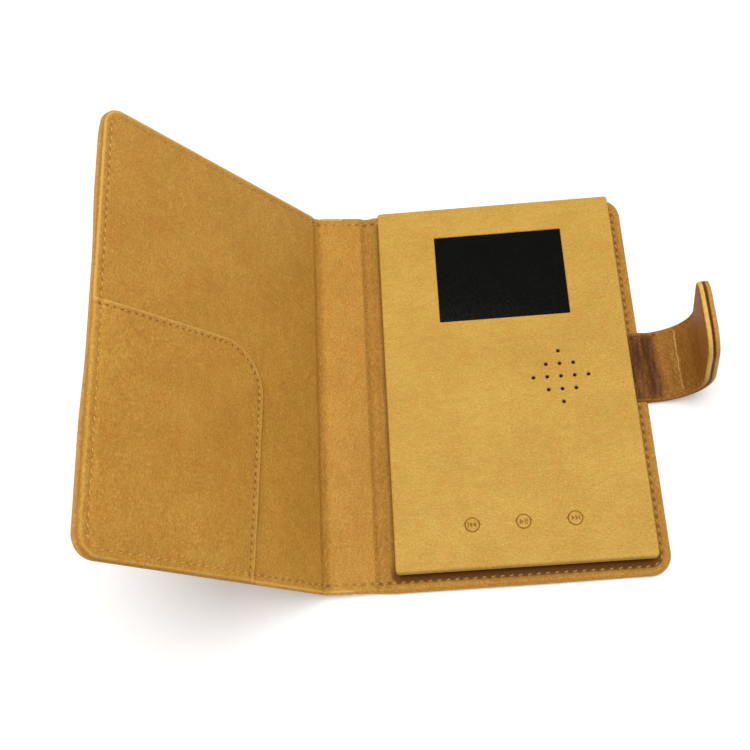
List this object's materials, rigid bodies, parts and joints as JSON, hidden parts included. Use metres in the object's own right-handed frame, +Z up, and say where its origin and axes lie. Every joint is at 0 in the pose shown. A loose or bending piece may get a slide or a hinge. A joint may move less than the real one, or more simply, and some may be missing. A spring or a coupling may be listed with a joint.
{
  "type": "lcd video notebook",
  "caption": "Leather notebook folio, open, with a video module on its back cover: screen, speaker holes, press buttons, pocket and closure strap.",
  "frame": {"origin": "underside of the back cover, midway between the fold by the spine and the free edge, and midway between foot and head", "axes": "+X from the spine to the closure strap, +Y to the head of the book, +Z up from the table"},
  "size_m": [0.2364, 0.1766, 0.1027],
  "materials": {
    "outer_leather": "tan synthetic leather, fine grain, satin",
    "lining_leather": "tan synthetic leather, fine grain, matt satin",
    "face_leather": "tan synthetic leather with fine short streaks, satin",
    "strap_leather": "tan synthetic leather, creased across the strap",
    "grey_board": "pressed grey board, matt",
    "padding_foam": "soft foam",
    "steel_plate": "plain steel",
    "magnet_nickel": "nickel plated",
    "lens_black": "black glossy lens",
    "tray_plastic": "black moulded plastic, fine texture",
    "adhesive": "double sided tape",
    "lcd_metal": "thin pressed metal",
    "lcd_glass": "liquid crystal cell",
    "backlight_plastic": "white light guide",
    "flex_film": "amber film",
    "circuit_green": "green solder mask",
    "chip_black": "black epoxy",
    "connector_cream": "cream nylon",
    "socket_steel": "stamped steel",
    "screw_steel": "steel",
    "pouch_foil": "matt foil pouch",
    "wire_sleeve": "wire sleeve",
    "speaker_steel": "black painted basket",
    "speaker_paper": "black paper cone",
    "gasket_foam": "black foam",
    "switch_plastic": "black nylon"
  },
  "bodies": {
    "back_cover": {"back_board": "grey_board", "face_board": "grey_board", "back_outer_leather": "outer_leather", "back_groove_outer_leather": "outer_leather", "back_lining": "lining_leather", "back_groove_lining": "lining_leather", "strap_anchor_tongue": "strap_leather", "strap_root_bend": "strap_leather", "module_tape": "adhesive", "module_tray": "tray_plastic", "face_leather": "face_leather", "screen_lens": "lens_black", "lcd_gasket": "gasket_foam", "lcd_frame": "lcd_metal", "lcd_cell": "lcd_glass", "lcd_backlight": "backlight_plastic", "lcd_ribbon": "flex_film", "main_board": "circuit_green", "ribbon_connector": "connector_cream", "processor": "chip_black", "memory_chip": "chip_black", "amplifier_chip": "chip_black", "usb_socket": "socket_steel", "board_screws": "screw_steel", "battery_pouch": "pouch_foil", "battery_tape": "adhesive", "battery_protection_board": "circuit_green", "battery_leads": "wire_sleeve", "speaker_leads": "wire_sleeve", "speaker_frame": "speaker_steel", "speaker_cone": "speaker_paper", "speaker_magnet": "magnet_nickel", "speaker_gasket": "gasket_foam", "button_board": "circuit_green", "button_ribbon": "flex_film", "switch_bodies": "switch_plastic"},
    "spine": {"spine_board": "grey_board", "spine_outer_leather": "outer_leather", "spine_lining": "lining_leather", "front_groove_outer_leather": "outer_leather", "front_groove_lining": "lining_leather"},
    "front_cover": {"front_board": "grey_board", "front_outer_leather": "outer_leather", "front_lining": "lining_leather", "pocket_flap": "lining_leather", "closure_plate": "steel_plate"},
    "strap_base": {"strap_root_lining": "strap_leather", "strap_root_padding": "padding_foam", "strap_root_outer_leather": "strap_leather", "strap_middle_bend": "strap_leather"},
    "strap_tip": {"strap_tip_lining": "strap_leather", "strap_tip_padding": "padding_foam", "strap_tip_outer_leather": "strap_leather", "closure_magnet": "magnet_nickel"},
    "previous_button": {"button_previous": "face_leather", "switch_plunger_previous": "switch_plastic"},
    "play_button": {"button_play": "face_leather", "switch_plunger_play": "switch_plastic"},
    "next_button": {"button_next": "face_leather", "switch_plunger_next": "switch_plastic"}
  },
  "joints": [
    {"name": "spine_fold", "type": "hinge", "parent": "back_cover", "child": "spine", "pos_m": [-0.059, 0, 0.0015], "axis": [0, 1, 0], "range_deg": [-8.4, 81.6], "deforming": ["back_groove_outer_leather", "back_groove_lining"]},
    {"name": "front_fold", "type": "hinge", "parent": "spine", "child": "front_cover", "pos_m": [-0.08274, 0, 0.00501], "axis": [0, 1, 0], "range_deg": [-46.2, 43.8], "deforming": ["front_groove_outer_leather", "front_groove_lining"]},
    {"name": "strap_root_bend", "type": "hinge", "parent": "back_cover", "child": "strap_base", "pos_m": [0.06078, 0.0023, 0.00164], "axis": [0, -1, 0], "range_deg": [-8, 41], "deforming": ["strap_root_bend"]},
    {"name": "strap_tip_bend", "type": "hinge", "parent": "strap_base", "child": "strap_tip", "pos_m": [0.08142, 0.0023, 0.0178], "axis": [0, -1, 0], "range_deg": [-40, 33], "deforming": ["strap_middle_bend"]},
    {"name": "previous_press", "type": "slide", "parent": "back_cover", "child": "previous_button", "axis": [0, 0, -1], "range_m": [0, 0.0003], "stiffness_N_per_m": 1000},
    {"name": "play_press", "type": "slide", "parent": "back_cover", "child": "play_button", "axis": [0, 0, -1], "range_m": [0, 0.0003], "stiffness_N_per_m": 1000},
    {"name": "next_press", "type": "slide", "parent": "back_cover", "child": "next_button", "axis": [0, 0, -1], "range_m": [0, 0.0003], "stiffness_N_per_m": 1000}
  ]
}
